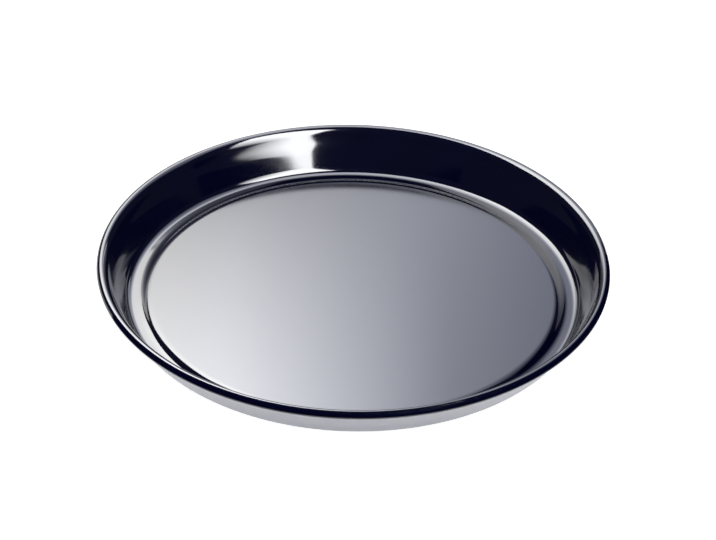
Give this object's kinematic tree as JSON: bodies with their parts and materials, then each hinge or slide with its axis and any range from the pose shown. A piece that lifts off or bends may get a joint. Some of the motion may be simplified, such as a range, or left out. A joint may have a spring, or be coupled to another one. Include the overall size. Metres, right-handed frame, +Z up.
{
  "type": "quiche pan",
  "caption": "Round shallow quiche pan with a raised flat floor, a groove round it, a flared wall and a rolled rim, pressed in sheet steel and enamelled dark inside and pale grey outside.",
  "frame": {"origin": "on the table under the middle of the floor, at the level of the foot ring's under side", "axes": "+Z up along the axis of the pan, X and Y level; the pan is round, so X is any radius and -Y faces the viewer"},
  "size_m": [0.28, 0.28, 0.0246],
  "materials": {
    "sheet_steel": "bare pressed sheet, grey, satin",
    "wire_steel": "drawn wire, satin",
    "dark_enamel": "glossy blue-black vitreous enamel",
    "grey_enamel": "glossy pale grey vitreous enamel"
  },
  "bodies": {
    "root": {"steel_pan": "sheet_steel", "rim_wire": "wire_steel", "inner_enamel": "dark_enamel", "outer_enamel": "grey_enamel"}
  },
  "joints": []
}
